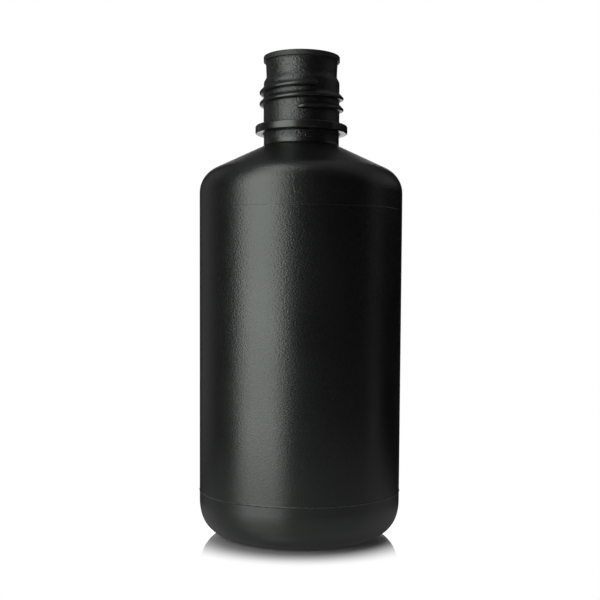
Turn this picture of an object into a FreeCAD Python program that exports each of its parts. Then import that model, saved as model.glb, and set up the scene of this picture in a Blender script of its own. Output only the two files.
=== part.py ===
"""Boston round bottle, one litre: one blow-moulded piece with a screw neck.

The frame has +Z up the bottle's axis, and its origin at the centre of the standing plane.
The front of the bottle, where the thread starts and ends, faces -Y.
Sizes are in millimetres and degrees, and depths on the neck are measured down from the rim.
"""
import FreeCAD, Part
import math
import os
import Sketcher

# The driving dimensions: name, number, what it is
SIZES = [
    ("bottle_height", 216.7, "floor to rim"),
    ("base_radius", 45.3, "outside of the wall where it leaves the base round"),
    ("shoulder_radius", 46.1, "outside of the wall where it meets the shoulder round"),
    ("shoulder_round", 11.9, "radius of the corner between wall and shoulder"),
    ("shoulder_slope", 25.8, "slope of the shoulder cone from the horizontal"),
    ("base_round_upper", 22.0, "radius of the base round beside the wall"),
    ("base_round_lower", 13.0, "radius of the base round beside the foot"),
    ("base_round_split", 18.0, "angle of the upper base round before the lower one takes over"),
    ("foot_width", 1.6, "width of the flat ring that the bottle stands on"),
    ("foot_round", 2.5, "radius between the foot and the push-up"),
    ("push_up", 3.4, "height of the hollow under the base"),
    ("weld_length", 46.0, "length of the pinched-off weld across the base"),
    ("weld_width", 1.2, "width of the weld"),
    ("weld_height", 0.5, "how far the weld stands out of the push-up"),
    ("wall", 1.2, "wall of the blown body"),
    ("base_wall", 1.9, "wall at the middle of the base"),
    ("insert_line_height", 20.2, "floor to the line between the base insert and the mould halves"),
    ("insert_line_width", 0.7, "width of that line's ridge"),
    ("insert_line_proud", 0.18, "how far that ridge stands out of the wall"),
    ("neck_radius", 17.15, "outside of the neck below the transfer ring"),
    ("neck_foot_depth", 40.8, "rim down to where the neck meets the shoulder"),
    ("neck_round", 1.4, "radius where the neck meets the shoulder"),
    ("finish_depth", 31.45, "rim down to the top of the transfer ring"),
    ("ring_radius", 21.0, "outside of the transfer ring"),
    ("ring_thickness", 3.65, "height of the transfer ring's edge"),
    ("ring_edge_round", 0.8, "radius on the ring's upper edge"),
    ("ring_lower_round", 0.6, "radius on the ring's lower edge"),
    ("ring_root_round", 0.5, "radius above the ring, where it leaves the neck"),
    ("ring_under_round", 0.9, "radius below the ring, where it leaves the neck"),
    ("finish_radius", 17.3, "outside of the neck at the root of the thread"),
    ("draw_in_depth", 11.8, "rim down to where the neck starts to draw in"),
    ("waist_depth", 9.5, "rim down to where the neck has drawn in"),
    ("draw_in_round", 2.0, "radius that softens both ends of the draw-in"),
    ("waist_low_radius", 16.05, "outside of the waist at the draw-in"),
    ("waist_high_radius", 16.4, "outside of the waist under the lip"),
    ("lip_radius", 17.4, "outside of the lip"),
    ("lip_height", 2.4, "height of the lip's face"),
    ("lip_round", 0.25, "radius on the lip's two edges"),
    ("bore_radius", 13.9, "radius of the mouth"),
    ("bore_round", 0.5, "radius on the mouth's inner edge"),
    ("bore_lead_round", 5.0, "radius between the bore and the inside of the shoulder"),
    ("thread_depth", 1.9, "how far the crest stands out of the neck"),
    ("thread_pitch", 5.08, "rise of the thread in one turn"),
    ("thread_end_depth", 14.95, "rim down to the crest where the thread starts to fade at its top"),
    ("thread_start", 8.0, "angle past the front where the thread has its full depth"),
    ("thread_run", 724.0, "angle over which it keeps its full depth"),
    ("thread_run_in", 15.5, "angle over which the thread comes out of the neck"),
    ("thread_run_out", 13.5, "angle over which it fades into the neck"),
    ("fade_overlap", 2.0, "angle by which each fading end starts inside the full thread"),
    ("fade_inset", 0.015, "how far inside the full thread's surface it starts"),
    ("crest_round", 0.75, "radius of the crest"),
    ("underside_slope", 18.0, "slope of the loaded underside from the horizontal"),
    ("upper_slope", 47.0, "slope of the upper flank from the horizontal"),
    ("thread_root_round", 0.55, "radius at both roots of the thread"),
    ("thread_sink", 0.15, "how deep the swept section reaches into the neck"),
]

# Sections that shape each fading end of the thread
FADE_SECTIONS = 4

# Heights that several features share
RIM = "Sizes.bottle_height"
RING_TOP = "(Sizes.bottle_height - Sizes.finish_depth)"
RING_BOTTOM = "(Sizes.bottle_height - Sizes.finish_depth - Sizes.ring_thickness)"
DRAW_IN = "(Sizes.bottle_height - Sizes.draw_in_depth)"
WAIST = "(Sizes.bottle_height - Sizes.waist_depth)"
LIP_BOTTOM = "(Sizes.bottle_height - Sizes.lip_height)"
BASE_TOP = (
    "(Sizes.base_round_lower"
    " + (Sizes.base_round_upper - Sizes.base_round_lower) * sin(Sizes.base_round_split * 1 deg))"
)
NECK_FOOT = "(Sizes.bottle_height - Sizes.neck_foot_depth)"
CONE_FOOT_RADIUS = (
    "(Sizes.shoulder_radius - Sizes.shoulder_round * (1 - sin(Sizes.shoulder_slope * 1 deg)))"
)
CONE_RISE = "((" + CONE_FOOT_RADIUS + " - Sizes.neck_radius) * tan(Sizes.shoulder_slope * 1 deg))"
SHOULDER_CENTRE = (
    "(" + NECK_FOOT + " - " + CONE_RISE + " - Sizes.shoulder_round * cos(Sizes.shoulder_slope * 1 deg))"
)
DOME_RADIUS = "(body_profile.Constraints.dome_radius / 1 mm)"

# How a sketch numbers the points of an edge, its origin and its two axes
START, END, CENTRE = range(1, 4)
ORIGIN = FLOOR_AXIS = -1
UPRIGHT_AXIS = FLOOR_AXIS - 1

doc = FreeCAD.newDocument("boston_round_bottle")
sheet = doc.addObject("Spreadsheet::Sheet", "Sizes")
for row, (alias, number, note) in enumerate(SIZES, start=1):
    sheet.set(f"A{row}", note)
    sheet.set(f"B{row}", str(number))
    sheet.setAlias(f"B{row}", alias)
doc.recompute()
body = doc.addObject("PartDesign::Body", "Bottle")
body.Label = "bottle"
body.Placement = FreeCAD.Placement()
planes = {feature.Role: feature for feature in body.Origin.OriginFeatures}


def size(formula):
    """The number that a formula of the sheet's names gives."""
    return float(sheet.evalExpression(formula))


def polar(centre, radius, degrees):
    """The point at this distance and angle from a centre."""
    angle = math.radians(degrees)
    return (centre[0] + radius * math.cos(angle), centre[1] + radius * math.sin(angle))


def bearing(centre, point):
    """The angle of a point seen from a centre, in degrees."""
    return math.degrees(math.atan2(point[1] - centre[1], point[0] - centre[0]))


def dome_under(apex, heel_centre, heel_radius):
    """Centre of the dome that peaks on the axis at this height and runs smoothly into a heel round."""
    rise = heel_centre[1] - apex
    reach = heel_centre[0] ** 2 + rise ** 2 - heel_radius ** 2
    radius = reach / (2 * (heel_radius - rise))
    return (0, apex - radius), radius


class Outline:
    """A sketch in a plane through the axis: its x is the radius and its y is the height."""

    def __init__(self, name, azimuth=None):
        self.sketch = body.newObject("Sketcher::SketchObject", name)
        self.sketch.AttachmentSupport = (planes["XZ_Plane"], [""])
        self.sketch.MapMode = "FlatFace"
        if azimuth:
            turn = FreeCAD.Rotation(FreeCAD.Vector(0, 1, 0), size(azimuth))
            self.sketch.AttachmentOffset = FreeCAD.Placement(FreeCAD.Vector(), turn)
            self.sketch.setExpression("AttachmentOffset.Rotation.Angle", azimuth)

    def line(self, start, end):
        edge = Part.LineSegment(FreeCAD.Vector(*start, 0), FreeCAD.Vector(*end, 0))
        return self.sketch.addGeometry(edge, False)

    def arc(self, centre, radius, start, end):
        """An arc that runs anticlockwise from one angle to the other."""
        circle = Part.Circle(FreeCAD.Vector(*centre, 0), FreeCAD.Vector(0, 0, 1), radius)
        edge = Part.ArcOfCircle(circle, math.radians(start), math.radians(end))
        return self.sketch.addGeometry(edge, False)

    def rule(self, kind, *places):
        self.sketch.addConstraint(Sketcher.Constraint(kind, *places))

    def measure(self, name, kind, places, formula):
        """A dimension that follows the sheet."""
        unit = " * 1 deg" if kind == "Angle" else ""
        amount = size(formula)
        start_value = math.radians(amount) if kind == "Angle" else amount
        index = self.sketch.addConstraint(Sketcher.Constraint(kind, *places, start_value))
        self.sketch.renameConstraint(index, name)
        self.sketch.setExpression("Constraints." + name, "(" + formula + ")" + unit)

    def across(self, name, edge, point, formula):
        self.measure(name, "DistanceX", (ORIGIN, START, edge, point), formula)

    def height(self, name, edge, point, formula):
        self.measure(name, "DistanceY", (ORIGIN, START, edge, point), formula)


def polygon(name, corners):
    """An outline of straight edges, with each corner a pair of formulas for radius and height."""
    outline = Outline(name)
    places = [(size(across), size(up)) for across, up in corners]
    last = len(corners) - 1
    for index, place in enumerate(places):
        outline.line(place, places[0 if index == last else index + 1])
    for index, (across, up) in enumerate(corners):
        before = last if index == 0 else index - 1
        outline.rule("Coincident", before, END, index, START)
        if across == corners[before][0]:
            outline.rule("Vertical", before)
        elif across == "0":
            outline.rule("PointOnObject", index, START, UPRIGHT_AXIS)
        else:
            outline.across(f"across_{index}", index, START, across)
        if up == corners[before][1]:
            outline.rule("Horizontal", before)
        else:
            outline.height(f"height_{index}", index, START, up)
    return outline.sketch


def revolve(kind, name, sketch):
    """Turns a sketch once round the bottle's axis, as a Revolution or a Groove."""
    feature = body.newObject("PartDesign::" + kind, name)
    feature.Profile = sketch
    feature.ReferenceAxis = (sketch, ["V_Axis"])
    feature.Angle = 360
    doc.recompute()
    return feature


def soften(name, radius, places):
    """Rounds the circular edges that lie round the axis at the given radii and heights."""
    base = body.Tip
    edges = []
    for place_radius, place_height in places:
        for index, edge in enumerate(base.Shape.Edges, start=1):
            if edge.Degenerated or not isinstance(edge.Curve, Part.Circle):
                continue
            off_radius = abs(edge.Curve.Radius - size(place_radius))
            off_height = abs(edge.Curve.Center.z - size(place_height))
            if max(off_radius, off_height) < 0.01:
                edges.append(f"Edge{index}")
    if len(edges) != len(places):
        raise RuntimeError(f"{name}: {len(edges)} edges found for {len(places)} places")
    feature = body.newObject("PartDesign::Fillet", name)
    feature.Base = (base, edges)
    feature.Radius = size(radius)
    feature.setExpression("Radius", radius)
    doc.recompute()
    return feature


def draw_body_profile():
    """The outside of the blown body, from the middle of the base up to the transfer ring."""
    outline = Outline("body_profile")
    upper_radius = size("Sizes.base_round_upper")
    lower_radius = size("Sizes.base_round_lower")
    split = size("Sizes.base_round_split")
    upper_centre = (size("Sizes.base_radius") - upper_radius, size(BASE_TOP))
    lower_centre = polar(upper_centre, upper_radius - lower_radius, -split)
    foot_outer = (lower_centre[0], 0)
    foot_inner = (foot_outer[0] - size("Sizes.foot_width"), 0)
    heel_radius = size("Sizes.foot_round")
    heel_centre = (foot_inner[0], heel_radius)
    dome_centre, dome_radius = dome_under(size("Sizes.push_up"), heel_centre, heel_radius)
    shoulder_radius = size("Sizes.shoulder_round")
    shoulder_centre = (size("Sizes.shoulder_radius") - shoulder_radius, size(SHOULDER_CENTRE))
    cone_normal = 90 - size("Sizes.shoulder_slope")
    cone_top = (size("Sizes.neck_radius"), size(NECK_FOOT))
    neck_top = (size("Sizes.neck_radius"), size(RING_BOTTOM))
    axis_top = (0, size(RING_BOTTOM))

    dome = outline.arc(dome_centre, dome_radius, bearing(dome_centre, heel_centre), 90)
    heel = outline.arc(heel_centre, heel_radius, bearing(heel_centre, dome_centre), -90)
    foot = outline.line(foot_inner, foot_outer)
    lower = outline.arc(lower_centre, lower_radius, -90, -split)
    upper = outline.arc(upper_centre, upper_radius, -split, 0)
    wall = outline.line(polar(upper_centre, upper_radius, 0), polar(shoulder_centre, shoulder_radius, 0))
    shoulder = outline.arc(shoulder_centre, shoulder_radius, 0, cone_normal)
    cone = outline.line(polar(shoulder_centre, shoulder_radius, cone_normal), cone_top)
    neck = outline.line(cone_top, neck_top)
    top = outline.line(neck_top, axis_top)
    axis = outline.line(axis_top, (0, size("Sizes.push_up")))

    outline.rule("Tangent", dome, START, heel, START)
    outline.rule("Tangent", heel, END, foot, START)
    outline.rule("Tangent", foot, END, lower, START)
    outline.rule("Tangent", lower, END, upper, START)
    outline.rule("Tangent", upper, END, wall, START)
    outline.rule("Tangent", wall, END, shoulder, START)
    outline.rule("Tangent", shoulder, END, cone, START)
    outline.rule("Coincident", cone, END, neck, START)
    outline.rule("Coincident", neck, END, top, START)
    outline.rule("Coincident", top, END, axis, START)
    outline.rule("Coincident", axis, END, dome, END)
    outline.rule("PointOnObject", foot, START, FLOOR_AXIS)
    outline.rule("PointOnObject", foot, END, FLOOR_AXIS)
    outline.rule("PointOnObject", dome, CENTRE, UPRIGHT_AXIS)
    outline.rule("PointOnObject", dome, END, UPRIGHT_AXIS)
    outline.rule("PointOnObject", top, END, UPRIGHT_AXIS)
    outline.rule("Vertical", neck)
    outline.rule("Horizontal", top)

    outline.height("push_up", dome, END, "Sizes.push_up")
    outline.measure("foot_round", "Radius", (heel,), "Sizes.foot_round")
    outline.measure("foot_width", "DistanceX", (foot, START, foot, END), "Sizes.foot_width")
    outline.measure("lower_round", "Radius", (lower,), "Sizes.base_round_lower")
    outline.measure("upper_round", "Radius", (upper,), "Sizes.base_round_upper")
    outline.height("upper_centre", upper, CENTRE, BASE_TOP)
    outline.across("base_radius", wall, START, "Sizes.base_radius")
    outline.across("shoulder_radius", wall, END, "Sizes.shoulder_radius")
    outline.measure("shoulder_round", "Radius", (shoulder,), "Sizes.shoulder_round")
    outline.measure("cone_angle", "Angle", (cone,), "180 - Sizes.shoulder_slope")
    outline.height("neck_foot", neck, START, NECK_FOOT)
    outline.across("neck_radius", neck, START, "Sizes.neck_radius")
    outline.height("neck_top", neck, END, RING_BOTTOM)

    dome_size = outline.sketch.addConstraint(Sketcher.Constraint("Radius", dome, dome_radius))
    outline.sketch.setDriving(dome_size, False)
    outline.sketch.renameConstraint(dome_size, "dome_radius")
    return outline.sketch


def draw_cavity_profile():
    """The inside: the body's outline less its wall, then the straight bore of the neck."""
    outline = Outline("cavity_profile")
    upper_radius = size("Sizes.base_round_upper - Sizes.wall")
    lower_radius = size("Sizes.base_round_lower - Sizes.wall")
    split = size("Sizes.base_round_split")
    upper_centre = (size("Sizes.base_radius - Sizes.base_round_upper"), size(BASE_TOP))
    lower_centre = polar(upper_centre, upper_radius - lower_radius, -split)
    apex = (0, size("Sizes.push_up + Sizes.base_wall"))
    dome_centre, dome_radius = dome_under(apex[1], lower_centre, lower_radius)
    shoulder_radius = size("Sizes.shoulder_round - Sizes.wall")
    shoulder_centre = (size("Sizes.shoulder_radius - Sizes.shoulder_round"), size(SHOULDER_CENTRE))
    slope = size("Sizes.shoulder_slope")
    cone_foot = polar(shoulder_centre, shoulder_radius, 90 - slope)
    lead_radius = size("Sizes.bore_lead_round")
    bore = size("Sizes.bore_radius")
    cone_run = cone_foot[0] - bore - lead_radius * (1 - math.sin(math.radians(slope)))
    cone_top = (cone_foot[0] - cone_run, cone_foot[1] + cone_run * math.tan(math.radians(slope)))
    lead_centre = polar(cone_top, lead_radius, 90 - slope)
    bore_top = (bore, size(RIM))
    axis_top = (0, size(RIM))

    dome = outline.arc(dome_centre, dome_radius, bearing(dome_centre, lower_centre), 90)
    lower = outline.arc(lower_centre, lower_radius, bearing(lower_centre, dome_centre), -split)
    upper = outline.arc(upper_centre, upper_radius, -split, 0)
    wall = outline.line(polar(upper_centre, upper_radius, 0), polar(shoulder_centre, shoulder_radius, 0))
    shoulder = outline.arc(shoulder_centre, shoulder_radius, 0, 90 - slope)
    cone = outline.line(cone_foot, cone_top)
    lead = outline.arc(lead_centre, lead_radius, 180, 270 - slope)
    side = outline.line(polar(lead_centre, lead_radius, 180), bore_top)
    top = outline.line(bore_top, axis_top)
    axis = outline.line(axis_top, apex)

    outline.rule("Tangent", dome, START, lower, START)
    outline.rule("Tangent", lower, END, upper, START)
    outline.rule("Tangent", upper, END, wall, START)
    outline.rule("Tangent", wall, END, shoulder, START)
    outline.rule("Tangent", shoulder, END, cone, START)
    outline.rule("Tangent", cone, END, lead, END)
    outline.rule("Tangent", lead, START, side, START)
    outline.rule("Coincident", side, END, top, START)
    outline.rule("Coincident", top, END, axis, START)
    outline.rule("Coincident", axis, END, dome, END)
    outline.rule("PointOnObject", dome, CENTRE, UPRIGHT_AXIS)
    outline.rule("PointOnObject", dome, END, UPRIGHT_AXIS)
    outline.rule("PointOnObject", top, END, UPRIGHT_AXIS)
    outline.rule("Vertical", side)
    outline.rule("Horizontal", top)

    outline.height("apex", dome, END, "Sizes.push_up + Sizes.base_wall")
    outline.measure("lower_round", "Radius", (lower,), "Sizes.base_round_lower - Sizes.wall")
    outline.height("lower_centre", lower, CENTRE, "Sizes.base_round_lower")
    outline.measure("upper_round", "Radius", (upper,), "Sizes.base_round_upper - Sizes.wall")
    outline.height("upper_centre", upper, CENTRE, BASE_TOP)
    outline.across("base_radius", wall, START, "Sizes.base_radius - Sizes.wall")
    outline.across("shoulder_radius", wall, END, "Sizes.shoulder_radius - Sizes.wall")
    outline.measure("shoulder_round", "Radius", (shoulder,), "Sizes.shoulder_round - Sizes.wall")
    outline.height("shoulder_centre", shoulder, CENTRE, SHOULDER_CENTRE)
    outline.measure("cone_angle", "Angle", (cone,), "180 - Sizes.shoulder_slope")
    outline.measure("lead_round", "Radius", (lead,), "Sizes.bore_lead_round")
    outline.across("bore_radius", side, START, "Sizes.bore_radius")
    outline.height("rim", side, END, RIM)
    return outline.sketch


def draw_thread_section(name, azimuth, crest_height, withdrawn):
    """The thread's section at one angle, drawn back towards the axis by the withdrawn amount."""
    outline = Outline(name, azimuth)
    root_formula = "Sizes.finish_radius - Sizes.thread_sink - " + withdrawn
    centre_formula = "Sizes.finish_radius + Sizes.thread_depth - Sizes.crest_round - " + withdrawn
    root = size(root_formula)
    crest_radius = size("Sizes.crest_round")
    crest_centre = (size(centre_formula), size(crest_height))
    root_radius = size("Sizes.thread_root_round")
    reach = crest_centre[0] - root - root_radius
    under = math.radians(size("Sizes.underside_slope"))
    over = math.radians(size("Sizes.upper_slope"))
    gap = crest_radius + root_radius
    low_centre = (root + root_radius, crest_centre[1] - (reach * math.sin(under) + gap) / math.cos(under))
    high_centre = (root + root_radius, crest_centre[1] + (reach * math.sin(over) + gap) / math.cos(over))
    under_degrees = math.degrees(under)
    over_degrees = math.degrees(over)

    low = outline.arc(low_centre, root_radius, 90 + under_degrees, 180)
    underside = outline.line(
        polar(low_centre, root_radius, 90 + under_degrees),
        polar(crest_centre, crest_radius, under_degrees - 90),
    )
    crest = outline.arc(crest_centre, crest_radius, under_degrees - 90, 90 - over_degrees)
    flank = outline.line(
        polar(crest_centre, crest_radius, 90 - over_degrees),
        polar(high_centre, root_radius, 270 - over_degrees),
    )
    high = outline.arc(high_centre, root_radius, 180, 270 - over_degrees)
    inner = outline.line((root, high_centre[1]), (root, low_centre[1]))

    outline.rule("Tangent", low, START, underside, START)
    outline.rule("Tangent", underside, END, crest, START)
    outline.rule("Tangent", crest, END, flank, START)
    outline.rule("Tangent", flank, END, high, END)
    outline.rule("Tangent", high, START, inner, START)
    outline.rule("Tangent", inner, END, low, END)
    outline.rule("Vertical", inner)
    outline.across("root", inner, START, root_formula)
    outline.across("crest_across", crest, CENTRE, centre_formula)
    outline.height("crest_height", crest, CENTRE, crest_height)
    outline.measure("crest_round", "Radius", (crest,), "Sizes.crest_round")
    outline.measure("low_round", "Radius", (low,), "Sizes.thread_root_round")
    outline.measure("high_round", "Radius", (high,), "Sizes.thread_root_round")
    outline.measure("underside_angle", "Angle", (underside,), "Sizes.underside_slope")
    outline.measure("flank_angle", "Angle", (flank,), "180 - Sizes.upper_slope")
    return outline.sketch


def draw_section_past_front(name, past_front, withdrawn="0"):
    """The thread's section at an angle past the front, on the thread's own rise."""
    short_of_end = "(Sizes.thread_start + Sizes.thread_run - (" + past_front + "))"
    crest_height = (
        "Sizes.bottle_height - Sizes.thread_end_depth - Sizes.thread_pitch / 360 * " + short_of_end
    )
    azimuth = "(" + past_front + " - 90)"
    return draw_thread_section(name, azimuth, crest_height, withdrawn)


def fade_thread(name, full_angle, direction, run):
    """Rounds one end of the thread off into the neck, along a quarter of an ellipse."""
    sections = []
    for step in range(FADE_SECTIONS + 1):
        quarter = math.radians(90 * step / FADE_SECTIONS)
        past_full = f"{run} * {math.sin(quarter):.4f}" if step else "-Sizes.fade_overlap"
        past_front = f"{full_angle} {direction} ({past_full})"
        drop = f"(Sizes.thread_depth + Sizes.thread_sink) * {1 - math.cos(quarter):.4f}"
        withdrawn = f"(Sizes.fade_inset + {drop})"
        sections.append(draw_section_past_front(f"{name}_section_{step}", past_front, withdrawn))
    doc.recompute()
    feature = body.newObject("PartDesign::AdditiveLoft", name)
    feature.Profile = sections[0]
    feature.Sections = sections[1:]
    doc.recompute()
    return feature


def add_weld():
    """The line across the base where the mould pinched the tube shut."""
    outline = Outline("weld_profile")
    dome_radius = size(DOME_RADIUS)
    apex = size("Sizes.push_up")
    centre = (0, apex - dome_radius)
    low_radius = dome_radius - size("Sizes.weld_height")
    high_radius = dome_radius + size("Sizes.base_wall") / 2
    half = size("Sizes.weld_length") / 2
    low_angle = math.degrees(math.acos(half / low_radius))
    high_angle = math.degrees(math.acos(half / high_radius))
    low = outline.arc(centre, low_radius, low_angle, 180 - low_angle)
    high = outline.arc(centre, high_radius, high_angle, 180 - high_angle)
    right = outline.line(polar(centre, low_radius, low_angle), polar(centre, high_radius, high_angle))
    left = outline.line(
        polar(centre, low_radius, 180 - low_angle),
        polar(centre, high_radius, 180 - high_angle),
    )
    outline.rule("Coincident", low, START, right, START)
    outline.rule("Coincident", high, START, right, END)
    outline.rule("Coincident", low, END, left, START)
    outline.rule("Coincident", high, END, left, END)
    outline.rule("Coincident", low, CENTRE, high, CENTRE)
    outline.rule("PointOnObject", low, CENTRE, UPRIGHT_AXIS)
    outline.rule("Vertical", right)
    outline.rule("Vertical", left)
    outline.height("centre", low, CENTRE, "Sizes.push_up - " + DOME_RADIUS)
    outline.measure("low_radius", "Radius", (low,), DOME_RADIUS + " - Sizes.weld_height")
    outline.measure("high_radius", "Radius", (high,), DOME_RADIUS + " + Sizes.base_wall / 2")
    outline.across("right_end", right, START, "Sizes.weld_length / 2")
    outline.measure("length", "DistanceX", (left, START, right, START), "Sizes.weld_length")
    pad = body.newObject("PartDesign::Pad", "weld")
    pad.Profile = outline.sketch
    pad.SideType = "Symmetric"
    pad.Length = size("Sizes.weld_width")
    pad.setExpression("Length", "Sizes.weld_width")
    doc.recompute()
    return pad


def add_insert_line():
    """The fine ridge where the base insert meets the mould halves."""
    wall_share = f"(Sizes.insert_line_height - {BASE_TOP}) / ({SHOULDER_CENTRE} - {BASE_TOP})"
    wall_radius = f"(Sizes.base_radius + (Sizes.shoulder_radius - Sizes.base_radius) * {wall_share})"
    buried = wall_radius + " - Sizes.wall / 2"
    low = "Sizes.insert_line_height - Sizes.insert_line_width"
    high = "Sizes.insert_line_height + Sizes.insert_line_width"
    sketch = polygon("insert_line_profile", [
        (buried, low),
        (wall_radius, "Sizes.insert_line_height - Sizes.insert_line_width / 2"),
        (wall_radius + " + Sizes.insert_line_proud", "Sizes.insert_line_height"),
        (wall_radius, "Sizes.insert_line_height + Sizes.insert_line_width / 2"),
        (buried, high),
    ])
    return revolve("Revolution", "insert_line", sketch)


revolve("Revolution", "blown_body", draw_body_profile())
finish_profile = polygon("finish_profile", [
    ("0", RING_BOTTOM),
    ("Sizes.ring_radius", RING_BOTTOM),
    ("Sizes.ring_radius", RING_TOP),
    ("Sizes.finish_radius", RING_TOP),
    ("Sizes.finish_radius", DRAW_IN),
    ("Sizes.waist_low_radius", WAIST),
    ("Sizes.waist_high_radius", LIP_BOTTOM),
    ("Sizes.lip_radius", LIP_BOTTOM),
    ("Sizes.lip_radius", RIM),
    ("0", RIM),
])
revolve("Revolution", "neck_finish", finish_profile)
soften("neck_softened", "Sizes.neck_round", [("Sizes.neck_radius", NECK_FOOT)])
soften("ring_under", "Sizes.ring_under_round", [("Sizes.neck_radius", RING_BOTTOM)])
soften("ring_root", "Sizes.ring_root_round", [("Sizes.finish_radius", RING_TOP)])
soften("ring_edge", "Sizes.ring_edge_round", [("Sizes.ring_radius", RING_TOP)])
soften("ring_lower", "Sizes.ring_lower_round", [("Sizes.ring_radius", RING_BOTTOM)])
soften("draw_in_softened", "Sizes.draw_in_round", [
    ("Sizes.finish_radius", DRAW_IN),
    ("Sizes.waist_low_radius", WAIST),
])
soften("lip_softened", "Sizes.lip_round", [
    ("Sizes.lip_radius", LIP_BOTTOM),
    ("Sizes.lip_radius", RIM),
])
add_insert_line()
add_weld()

thread_start = draw_section_past_front("thread_start", "Sizes.thread_start")
thread = body.newObject("PartDesign::AdditiveHelix", "thread")
thread.Profile = thread_start
thread.ReferenceAxis = (thread_start, ["V_Axis"])
thread.Mode = "pitch-turns-angle"
thread.setExpression("Pitch", "Sizes.thread_pitch")
thread.setExpression("Turns", "Sizes.thread_run / 360")
doc.recompute()
fade_thread("thread_run_in", "Sizes.thread_start", "-", "Sizes.thread_run_in")
fade_thread("thread_run_out", "Sizes.thread_start + Sizes.thread_run", "+", "Sizes.thread_run_out")

solid_volume = body.Shape.Volume
cavity = revolve("Groove", "cavity", draw_cavity_profile())
soften("mouth_softened", "Sizes.bore_round", [("Sizes.bore_radius", RIM)])

for item in doc.Objects:
    if "Invalid" in item.State or "Error" in item.State:
        raise RuntimeError(f"{item.Name} did not rebuild")
if body.Shape.isNull() or not body.Shape.isValid() or len(body.Shape.Solids) != 1:
    raise RuntimeError("the bottle is not one valid solid")
capacity = solid_volume - cavity.Shape.Volume
if capacity < solid_volume / 2:
    raise RuntimeError("the cavity was not cut")
print(f"bottle: brimful {capacity / 1000:.0f} ml, plastic {body.Shape.Volume / 1000:.1f} cm3")

os.makedirs("parts", exist_ok=True)
body.Shape.exportStep(os.path.join("parts", body.Label + ".step"))
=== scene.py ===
# %% [markdown]
# A black laboratory bottle
#
# This lesson dresses a one-litre boston round bottle for its portrait. The real bottle is a
# tube of hot polyethylene, blown out against a cold mould in one piece, neck and thread
# included. It is coloured black to keep light away from what it holds. Its solid comes ready
# made from the workshop's CAD, so three things are left to do here: the skin, the light that
# shows it, and the camera.

# %% Load the bottle
import math

import bpy
from mathutils import Matrix, Vector


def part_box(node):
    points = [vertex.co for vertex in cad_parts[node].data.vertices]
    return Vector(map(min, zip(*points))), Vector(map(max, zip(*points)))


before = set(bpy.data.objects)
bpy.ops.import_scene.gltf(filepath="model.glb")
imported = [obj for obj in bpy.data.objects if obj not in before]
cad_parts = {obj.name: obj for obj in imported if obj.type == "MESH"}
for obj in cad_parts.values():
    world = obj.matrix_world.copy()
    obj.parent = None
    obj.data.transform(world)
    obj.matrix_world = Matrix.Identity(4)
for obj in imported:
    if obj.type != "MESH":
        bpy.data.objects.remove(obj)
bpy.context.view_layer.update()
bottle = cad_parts["bottle"]
low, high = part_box("bottle")
lip_top = high.z
across_body = high.x - low.x
print("bottle stands", round(lip_top * 1000, 1), "mm high and", round(across_body * 1000, 1), "mm wide")

# %% [markdown]
# The camera
#
# The bottle was photographed from close by, with the lens about level with its middle. From
# that near, the rim curves down at its front while the foot curves up at its sides. A longer
# lens from further off would draw the same outline but flatten those curves, so the distance
# matters as much as the lens. Both are noted as a photographer would note them, in metres and
# millimetres.

# %% Place the camera
lens_height = 0.10785
lens_distance = 0.473
lens_left = 0.0002
picture = bpy.data.cameras.new("portrait lens")
picture.sensor_width = 36.0
picture.lens = 62.1
picture.clip_start = 0.01
camera = bpy.data.objects.new("camera", picture)
bpy.context.scene.collection.objects.link(camera)
print("lens of", round(picture.lens, 1), "mm,", lens_distance, "m from the bottle's axis")

# %% Aim the camera
degrees_down = 0.22
degrees_rolled = 0.33
stand = Matrix.Translation((-lens_left, -lens_distance, lens_height))
tilt_down = Matrix.Rotation(math.radians(90.0 - degrees_down), 4, "X")
roll = Matrix.Rotation(math.radians(degrees_rolled), 4, "Z")
camera.matrix_world = stand @ tilt_down @ roll
bpy.context.scene.camera = camera
bpy.context.scene.view_settings.view_transform = "Standard"
print("camera looks", degrees_down, "degrees down, and the colours come out as they are written")

# %% [markdown]
# The tools for the materials
#
# Every finish below is a small machine of nodes: where am I on the bottle, how far is that
# from a line, how much of an effect does that give. A few helpers keep the machines short.
# One wires a number or a socket, one does sums, and one turns a distance into a soft step.


# %% Helper: wire a number or another node's output
def feed(tree, socket, value):
    """Sets a socket to a number, or links it to another node's output."""
    if isinstance(value, bpy.types.NodeSocket):
        tree.links.new(value, socket)
    else:
        socket.default_value = value


print("feed() is ready")


# %% Helper: a sum
def work_out(tree, operation, first, *others):
    """Arithmetic on numbers or sockets, with a node for each value after the first.

    A square root, or a value without its sign, needs no other value and takes one node.
    """
    result = first
    for other in others or [0.0]:
        step = tree.nodes.new("ShaderNodeMath")
        step.operation = operation
        feed(tree, step.inputs[0], result)
        feed(tree, step.inputs[1], other)
        result = step.outputs["Value"]
    return result


print("work_out() is ready")


# %% Helper: a soft step
def fade(tree, value, start, end, before, after):
    """Goes smoothly from one amount to another while the value goes from start to end."""
    ramp = tree.nodes.new("ShaderNodeMapRange")
    ramp.interpolation_type = "SMOOTHSTEP"
    feed(tree, ramp.inputs["Value"], value)
    ramp.inputs["From Min"].default_value = start
    ramp.inputs["From Max"].default_value = end
    ramp.inputs["To Min"].default_value = before
    ramp.inputs["To Max"].default_value = after
    return ramp.outputs["Result"]


print("fade() is ready")

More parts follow.
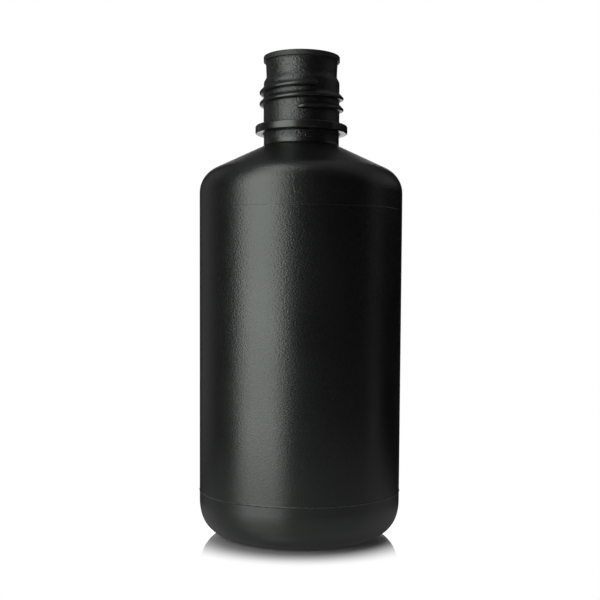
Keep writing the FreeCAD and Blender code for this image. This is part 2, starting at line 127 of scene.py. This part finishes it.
# %% [markdown]
# The skin
#
# The mould was sandblasted so that air can leave it, and the plastic copies that grain: a
# satin black with a fine tooth of a little under a millimetre. A single flat black would look
# like paint, and a picture of grain would need the bottle to be unwrapped. Noise that lives
# in the bottle's own space needs no unwrapping and keeps its size everywhere, so the grain,
# the lines and the changes of gloss are all made that way.
#
# Black plastic shows little but what it reflects. This skin reflects twice as much, face on,
# as its index alone would give, and the lamps are dimmer for it. The front looks the same
# either way, but from the sides and the back the rims keep their edge against the white room.

# %% Start the skin
skin = bpy.data.materials.new("black polyethylene")
skin.use_nodes = True
tree = skin.node_tree
plastic = tree.nodes["Principled BSDF"]
# The skin's reflections carry a painted green tint: it is the colour of the light, not of the plastic.
plastic.inputs["Specular Tint"].default_value = (0.93, 1.0, 0.945, 1.0)
plastic.inputs["IOR"].default_value = 1.52
plastic.inputs["Specular IOR Level"].default_value = 1.0
print("polyethylene bends light by", round(plastic.inputs["IOR"].default_value, 2))

# %% Find the place on the bottle
place = tree.nodes.new("ShaderNodeTexCoord").outputs["Object"]
split = tree.nodes.new("ShaderNodeSeparateXYZ")
feed(tree, split.inputs["Vector"], place)
right = split.outputs["X"]
back = split.outputs["Y"]
up = split.outputs["Z"]
right_squared = work_out(tree, "MULTIPLY", right, right)
back_squared = work_out(tree, "MULTIPLY", back, back)
out = work_out(tree, "SQRT", work_out(tree, "ADD", right_squared, back_squared))
print("each point of the skin knows its height and its distance from the axis")


# %% Helper: noise of a given size
def noise(tree, scale, detail, vector):
    """Noise with this many lumps to a metre."""
    lumps = tree.nodes.new("ShaderNodeTexNoise")
    lumps.inputs["Scale"].default_value = scale
    lumps.inputs["Detail"].default_value = detail
    feed(tree, lumps.inputs["Vector"], vector)
    return lumps.outputs["Fac"]


print("noise() is ready")

# %% [markdown]
# The grain isn't the same everywhere. It is deepest on the recessed parts of the neck, and
# almost gone on the thread, the lip and the collar, which are cut into the mould by another
# tool. On the body it grows shallower towards the base, most of all on the base insert. One
# noise serves them all, and soft steps say how deep it is at each height and distance.

# %% Name the places that the finish follows
insert_line = 0.0202
insert_soft = 0.0004
neck_start = 0.1780
neck_full = 0.1785
recess_radius = 0.01755
raised_radius = 0.0178
print("the base insert reaches", round(insert_line * 1000, 1), "mm up the bottle")

# %% Sandblast the mould
lumps_per_metre = 1380.0
grain_depth = 1.2
flattened = tree.nodes.new("ShaderNodeMapping")
flattened.inputs["Scale"].default_value = (1.0, 1.0, 1.5)
feed(tree, flattened.inputs["Vector"], place)
grain = noise(tree, scale=lumps_per_metre, detail=1.0, vector=flattened.outputs["Vector"])
print("the grain has", lumps_per_metre, "lumps to a metre, and half as many again upwards")

# %% Say how deep the grain is, place by place
recessed = fade(tree, out, recess_radius, raised_radius, before=2.6, after=0.14)
neck_share = fade(tree, up, neck_start, neck_full, before=0.0, after=1.0)
neck_grain = work_out(tree, "MULTIPLY", recessed, neck_share)
up_the_wall = fade(tree, up, start=0.03, end=0.11, before=0.5, after=1.0)
body_share = fade(tree, up, neck_start, neck_full, before=1.0, after=0.0)
body_grain = work_out(tree, "MULTIPLY", up_the_wall, body_share)
above_insert = fade(tree, up, insert_line - insert_soft, insert_line + insert_soft, before=0.6, after=1.0)
blasted = work_out(tree, "MULTIPLY", above_insert, work_out(tree, "ADD", neck_grain, body_grain))
grain_height = work_out(tree, "MULTIPLY", grain, grain_depth, blasted)
print("the body's grain is shallower towards the base, and shallowest on the base insert")

# %% [markdown]
# Lines tell how the bottle was made. The base is shaped by an insert of its own, and plastic
# creeps into the gap round it as a fine ragged flash. The two mould halves meet at both
# sides. A third line, hardly there, rings the top of the wall, and the lip carries the fine
# circles of the tool that turned its mould. None is more than a tenth of a millimetre high,
# too shallow for geometry, so they join the grain in one bump.


# %% Helper: a thin line where a value is near zero
def thin_line(tree, distance, half_width, height):
    """A ridge where the distance is near zero, this high at its middle."""
    apart = work_out(tree, "ABSOLUTE", distance)
    return fade(tree, apart, start=0.0, end=half_width, before=height, after=0.0)


print("thin_line() is ready")

# %% Draw the flash round the base insert
flash_line = insert_line - 0.0001
above_flash = work_out(tree, "SUBTRACT", up, flash_line)
flash = thin_line(tree, above_flash, half_width=0.00040, height=1.0)
tatters = noise(tree, scale=700.0, detail=2.0, vector=place)
ragged = fade(tree, tatters, start=0.38, end=0.60, before=0.0, after=1.0)
flash_height = work_out(tree, "MULTIPLY", flash, ragged)
print("a ragged flash rings the base", round(flash_line * 1000, 1), "mm up")

# %% Draw the wall line and the parting lines
wall_line_height = 0.1461
bore_side = 0.0158
outer_side = 0.0160
above_wall = work_out(tree, "SUBTRACT", up, wall_line_height)
wall_line = thin_line(tree, above_wall, half_width=0.00045, height=0.8)
parting = thin_line(tree, back, half_width=0.00030, height=0.45)
on_outside = fade(tree, out, bore_side, outer_side, before=0.0, after=1.0)
above_base = fade(tree, up, insert_line, insert_line + 0.0005, before=0.0, after=1.0)
parting_height = work_out(tree, "MULTIPLY", parting, on_outside, above_base)
print("wall line at", round(wall_line_height * 1000, 1), "mm, parting lines at both sides")

# %% Turn the circles on the lip
circles_start = lip_top - 0.0029
lip_full = lip_top - 0.0023
circles = tree.nodes.new("ShaderNodeTexWave")
circles.bands_direction = "Z"
circles.inputs["Scale"].default_value = 420.0
circles.inputs["Distortion"].default_value = 0.4
feed(tree, circles.inputs["Vector"], place)
on_lip = fade(tree, up, circles_start, lip_full, before=0.0, after=0.16)
circle_height = work_out(tree, "MULTIPLY", circles.outputs["Fac"], on_lip)
print("fine circles turned on the lip, from", round(circles_start * 1000, 1), "mm up")

# %% Press it all into the skin
heights = work_out(tree, "ADD", grain_height, flash_height, wall_line, parting_height, circle_height)
relief = tree.nodes.new("ShaderNodeBump")
relief.inputs["Strength"].default_value = 1.0
relief.inputs["Distance"].default_value = 0.0001
feed(tree, relief.inputs["Height"], heights)
feed(tree, plastic.inputs["Normal"], relief.outputs["Normal"])
print("one step of height is a tenth of a millimetre")

# %% [markdown]
# Black plastic is never evenly black or evenly satin. The wall cooled unevenly, so its gloss
# drifts from place to place, and it is softer towards the base and on the lip. Caps have
# rubbed the crest of the thread and the edge of the collar, which are a touch glossier and
# greyer for it, and the flash is so thin that it looks grey as well.

# %% Find what the caps have rubbed
rubbed_from = 0.0184
rubbed_full = 0.0192
on_crest = fade(tree, out, rubbed_from, rubbed_full, before=0.0, after=1.0)
above_shoulder = fade(tree, up, start=0.179, end=0.181, before=0.0, after=1.0)
patches = noise(tree, scale=600.0, detail=2.0, vector=place)
patchy = fade(tree, patches, start=0.4, end=0.6, before=0.3, after=1.0)
worn = work_out(tree, "MULTIPLY", on_crest, above_shoulder, patchy)
print("the neck is rubbed past", round(rubbed_from * 1000, 1), "mm from the axis")

# %% Vary the gloss
satin = 0.31
cooling = noise(tree, scale=28.0, detail=2.0, vector=place)
drift = fade(tree, cooling, start=0.3, end=0.7, before=-0.025, after=0.025)
soft_base = fade(tree, up, start=insert_line - 0.004, end=0.065, before=0.05, after=0.0)
soft_lip = fade(tree, up, start=lip_top - 0.0039, end=lip_full, before=0.0, after=0.20)
polished_crest = work_out(tree, "MULTIPLY", worn, -0.04)
gloss = work_out(tree, "ADD", satin, drift, soft_base, polished_crest, soft_lip)
feed(tree, plastic.inputs["Roughness"], gloss)
print("roughness stays near", satin)

# %% Vary the black
tint = tree.nodes.new("ShaderNodeMix")
tint.data_type = "RGBA"
tint.inputs["A"].default_value = (0.0034, 0.0038, 0.0035, 1.0)
tint.inputs["B"].default_value = (0.0046, 0.0051, 0.0047, 1.0)
feed(tree, tint.inputs["Factor"], noise(tree, scale=45.0, detail=3.0, vector=place))
print("the black drifts a little")

# %% Grey the worn crest and the flash
scuffed = tree.nodes.new("ShaderNodeMix")
scuffed.data_type = "RGBA"
scuffed.inputs["B"].default_value = (0.060, 0.063, 0.060, 1.0)
feed(tree, scuffed.inputs["A"], tint.outputs["Result"])
thinned = fade(tree, ragged, start=0.0, end=1.0, before=0.45, after=1.0)
thin_plastic = work_out(tree, "MULTIPLY", flash, thinned)
lightly_worn = work_out(tree, "MULTIPLY", worn, 0.13)
feed(tree, scuffed.inputs["Factor"], work_out(tree, "MAXIMUM", lightly_worn, thin_plastic))
feed(tree, plastic.inputs["Base Color"], scuffed.outputs["Result"])
print("the black is greyer on the worn crest and the flash")

# %% Put the skin on the bottle
for slot in bottle.material_slots:
    slot.material = skin
print("the bottle has", len(bottle.material_slots), "material slot")

# %% [markdown]
# The table
#
# The bottle stands on a sheet of white acrylic. The picture burns it out to white, all but
# the soft mirror image of the base right in front of it. A plain white floor would lose that
# image, so the sheet keeps its own gloss near the base, and turns to pure white further out,
# for the camera only.

# %% Lay the sheet
reach = 0.8
sheet_mesh = bpy.data.meshes.new("acrylic sheet")
corners = [(-reach, -reach, 0.0), (reach, -reach, 0.0), (reach, reach, 0.0), (-reach, reach, 0.0)]
sheet_mesh.from_pydata(corners, [], [(0, 1, 2, 3)])
floor = bpy.data.objects.new("floor", sheet_mesh)
bpy.context.scene.collection.objects.link(floor)
print("the sheet reaches", reach, "m each way")


# %% Helpers: two shaders into one
def add_shaders(tree, first, second):
    """The light of both shaders together."""
    both = tree.nodes.new("ShaderNodeAddShader")
    feed(tree, both.inputs[0], first)
    feed(tree, both.inputs[1], second)
    return both.outputs["Shader"]


def blend_shaders(tree, amount, first, second):
    """The first shader at amount 0, the second at 1. None as the first gives plain black."""
    between = tree.nodes.new("ShaderNodeMixShader")
    feed(tree, between.inputs["Fac"], amount)
    if first is not None:
        feed(tree, between.inputs[1], first)
    feed(tree, between.inputs[2], second)
    return between.outputs["Shader"]


print("add_shaders() and blend_shaders() are ready")

# %% Make the acrylic
acrylic = bpy.data.materials.new("white acrylic")
acrylic.use_nodes = True
tree = acrylic.node_tree
sheet = tree.nodes["Principled BSDF"]
sheet.inputs["Base Color"].default_value = (0.60, 0.60, 0.60, 1.0)
sheet.inputs["Roughness"].default_value = 0.12
mirror = tree.nodes.new("ShaderNodeBsdfGlossy")
mirror.inputs["Color"].default_value = (0.85, 0.85, 0.85, 1.0)
mirror.inputs["Roughness"].default_value = 0.04
polished = add_shaders(tree, sheet.outputs["BSDF"], mirror.outputs["BSDF"])
sheet_mesh.materials.append(acrylic)
print("acrylic mirrors the base")

# %% Find the place on the sheet
sheet_place = tree.nodes.new("ShaderNodeTexCoord").outputs["Object"]
measured = tree.nodes.new("ShaderNodeVectorMath")
measured.operation = "LENGTH"
feed(tree, measured.inputs[0], sheet_place)
away = measured.outputs["Value"]
sheet_split = tree.nodes.new("ShaderNodeSeparateXYZ")
feed(tree, sheet_split.inputs["Vector"], sheet_place)
sheet_right = sheet_split.outputs["X"]
sheet_back = sheet_split.outputs["Y"]
print("each point of the sheet knows how far it is from the bottle's axis")

# %% Burn the sheet out to white for the camera
image_fades = 0.040
all_white = 0.062
burnt = tree.nodes.new("ShaderNodeEmission")
burnt.inputs["Strength"].default_value = 1.0
near = fade(tree, away, start=image_fades, end=all_white, before=1.0, after=0.0)
for_camera = blend_shaders(tree, near, burnt.outputs["Emission"], polished)
print("the sheet is white from", round(all_white * 1000), "mm outwards")

# %% [markdown]
# The bottle sees another sheet than the camera does. All that its gloss shows below the
# horizon is the sheet, and that sheet carries painted light and painted shade. A painted pool
# of light, a glow of the sheet itself, grows from under the foot to just clear of it and then
# dies away, which brightens the round of the foot. A mirror that grows with distance shows the
# tall soft box a second time, upside down, so the highlight runs on down to the base with no
# cut where the soft box ends. Behind the bottle the sheet is painted dark, as painted shade
# with no card there, and at the left it stays lighter.

# %% Paint a pool of light round the base
painted_pool_end = 0.34
path = tree.nodes.new("ShaderNodeLightPath")
clear_of_base = fade(tree, away, start=0.020, end=0.053, before=0.0, after=1.0)
dying_away = fade(tree, away, start=0.06, end=painted_pool_end, before=0.160, after=0.0)
# The pool is painted light: the sheet itself glows there, for the bottle's gloss only, with no lamp
# behind it.
painted_pool = tree.nodes.new("ShaderNodeEmission")
painted_pool_strength = work_out(tree, "MULTIPLY", path.outputs["Is Glossy Ray"], clear_of_base, dying_away)
feed(tree, painted_pool.inputs["Strength"], painted_pool_strength)
print("the pool of light ends", round(painted_pool_end * 1000), "mm from the axis")

# %% Let the mirror grow with distance
shine = tree.nodes.new("ShaderNodeBsdfGlossy")
feed(tree, shine.inputs["Color"], fade(tree, away, start=0.12, end=0.60, before=0.10, after=0.85))
shine.inputs["Roughness"].default_value = 0.10
dull = tree.nodes.new("ShaderNodeBsdfPrincipled")
dull.inputs["Base Color"].default_value = (0.32, 0.32, 0.32, 1.0)
dull.inputs["Roughness"].default_value = 0.12
glowing = add_shaders(tree, painted_pool.outputs["Emission"], shine.outputs["BSDF"])
for_gloss = add_shaders(tree, dull.outputs["BSDF"], glowing)
print("the far sheet mirrors the soft box")

# %% Paint shade on the sheet behind the bottle, and less at the left
painted_shade_starts = fade(tree, sheet_back, start=0.0, end=0.08, before=1.0, after=0.15)
painted_shade_lifts = fade(tree, sheet_back, start=0.12, end=0.50, before=0.0, after=0.45)
open_left = fade(tree, sheet_right, start=-0.20, end=-0.04, before=0.60, after=0.0)
lit = work_out(tree, "MAXIMUM", work_out(tree, "ADD", painted_shade_lifts, painted_shade_starts), open_left)
# No card stands behind the bottle: the dark there is painted shade, the sheet's gloss mixed with black
# where lit is under one.
shaded = blend_shaders(tree, lit, None, for_gloss)
print("a dark card lies behind the bottle")

# %% Choose a sheet for each ray
chosen = blend_shaders(tree, path.outputs["Is Camera Ray"], shaded, for_camera)
feed(tree, tree.nodes["Material Output"].inputs["Surface"], chosen)
print("the camera sees a white sheet, and the bottle sees a lit one")

# %% [markdown]
# The studio
#
# Behind the bottle hangs a white panel, and the rest of the room is dim. The camera sees
# white wherever it looks, but gloss shows the panel only where the panel is. That is what
# keeps the middle of a black bottle dark and its rims pale. Two weaker glows help: the
# ceiling, overhead and behind, draws the soft light on the shoulder, and a window at the
# right keeps that side of the shoulder from going quite black. Each is placed by the
# direction of a ray, whose parts run from -1 to 1.

# %% Look round the room
room = bpy.data.worlds.new("studio")
room.use_nodes = True
bpy.context.scene.world = room
tree = room.node_tree
looking = tree.nodes.new("ShaderNodeSeparateXYZ")
feed(tree, looking.inputs["Vector"], tree.nodes.new("ShaderNodeTexCoord").outputs["Generated"])
path = tree.nodes.new("ShaderNodeLightPath")
rightwards = looking.outputs["X"]
sideways = work_out(tree, "ABSOLUTE", rightwards)
backwards = looking.outputs["Y"]
upwards = looking.outputs["Z"]
print("the room knows which way each ray leaves")

# %% Hang the white panel
panel_top = 0.28
across = fade(tree, sideways, start=0.12, end=0.28, before=1.0, after=0.0)
ahead = fade(tree, backwards, start=0.80, end=0.88, before=0.0, after=1.0)
under_top = fade(tree, upwards, start=panel_top, end=0.42, before=1.0, after=0.0)
below_level = fade(tree, upwards, start=-0.06, end=0.02, before=1.8, after=1.0)
panel = work_out(tree, "MULTIPLY", across, ahead, under_top, below_level)
print("the panel starts to end", round(math.degrees(math.asin(panel_top))), "degrees up")

# %% Add a dim ceiling and window
high_up = fade(tree, upwards, start=0.25, end=0.95, before=0.0, after=0.15)
past_front = fade(tree, backwards, start=-0.5, end=0.1, before=0.0, after=1.0)
ceiling = work_out(tree, "MULTIPLY", high_up, past_front)
at_right = fade(tree, rightwards, start=0.45, end=0.75, before=0.0, after=1.0)
above_sill = fade(tree, upwards, start=0.12, end=0.30, before=0.0, after=0.18)
past_middle = fade(tree, backwards, start=-0.1, end=0.25, before=0.0, after=1.0)
window = work_out(tree, "MULTIPLY", at_right, above_sill, past_middle)
print("ceiling and window glow at under a fifth of the panel")

# %% Light the room
stray_light = 0.008
lights = work_out(tree, "MAXIMUM", panel, ceiling, window)
in_gloss = work_out(tree, "MULTIPLY", path.outputs["Is Glossy Ray"], lights)
seen = work_out(tree, "MAXIMUM", path.outputs["Is Camera Ray"], path.outputs["Is Transmission Ray"])
backdrop = tree.nodes["Background"]
backdrop.inputs["Color"].default_value = (1.0, 1.0, 1.0, 1.0)
feed(tree, backdrop.inputs["Strength"], work_out(tree, "MAXIMUM", seen, in_gloss, stray_light))
print("room is white for the camera and dim for the bottle")

# %% [markdown]
# The highlight down the left of the bottle is a tall soft box at the front left. A second box
# hangs high on that side and looks down, to draw the highlight on up the shoulder. Two dim
# cards, one at the right and one behind at the left, keep the limbs from going quite black.


# %% Helper: a soft box
def softbox(name, width, height, bearing, distance, lift, radiance, aim=None):
    """Hangs a soft box at a bearing to the left of the camera, facing the bottle or its aim."""
    light = bpy.data.lights.new(name, "AREA")
    light.shape = "RECTANGLE"
    light.size = width
    light.size_y = height
    light.energy = radiance * math.pi * width * height
    lamp = bpy.data.objects.new(name, light)
    turn = math.radians(bearing)
    lamp.location = (-distance * math.sin(turn), -distance * math.cos(turn), lift)
    target = Vector((0.0, 0.0, lift)) if aim is None else Vector(aim)
    lamp.rotation_euler = (target - lamp.location).to_track_quat("-Z", "Y").to_euler()
    bpy.context.scene.collection.objects.link(lamp)
    print(name, "gives", round(light.energy, 2), "W")


print("softbox() is ready")

# %% Hang the key soft box
softbox("key soft box", width=0.84, height=1.10, bearing=44.0, distance=0.9, lift=0.55, radiance=2.29)

# %% Hang the top soft box
top_bearing = 50.0
aim_distance = 0.525
top_turn = math.radians(top_bearing)
softbox(
    "top soft box",
    width=0.43,
    height=0.70,
    bearing=top_bearing,
    distance=0.545,
    lift=1.10,
    radiance=2.05,
    aim=(-aim_distance * math.sin(top_turn), -aim_distance * math.cos(top_turn), 0.0),
)

# %% Stand the cards
softbox("left card", width=0.6, height=0.9, bearing=129.0, distance=0.9, lift=0.35, radiance=0.15)
softbox("right card", width=0.10, height=0.9, bearing=-90.0, distance=0.9, lift=0.35, radiance=0.21)

# %% [markdown]
# Finish
#
# The dressed bottle must be exactly as big as the solid that it started from.

# %% Finish
print("the bottle is dressed")
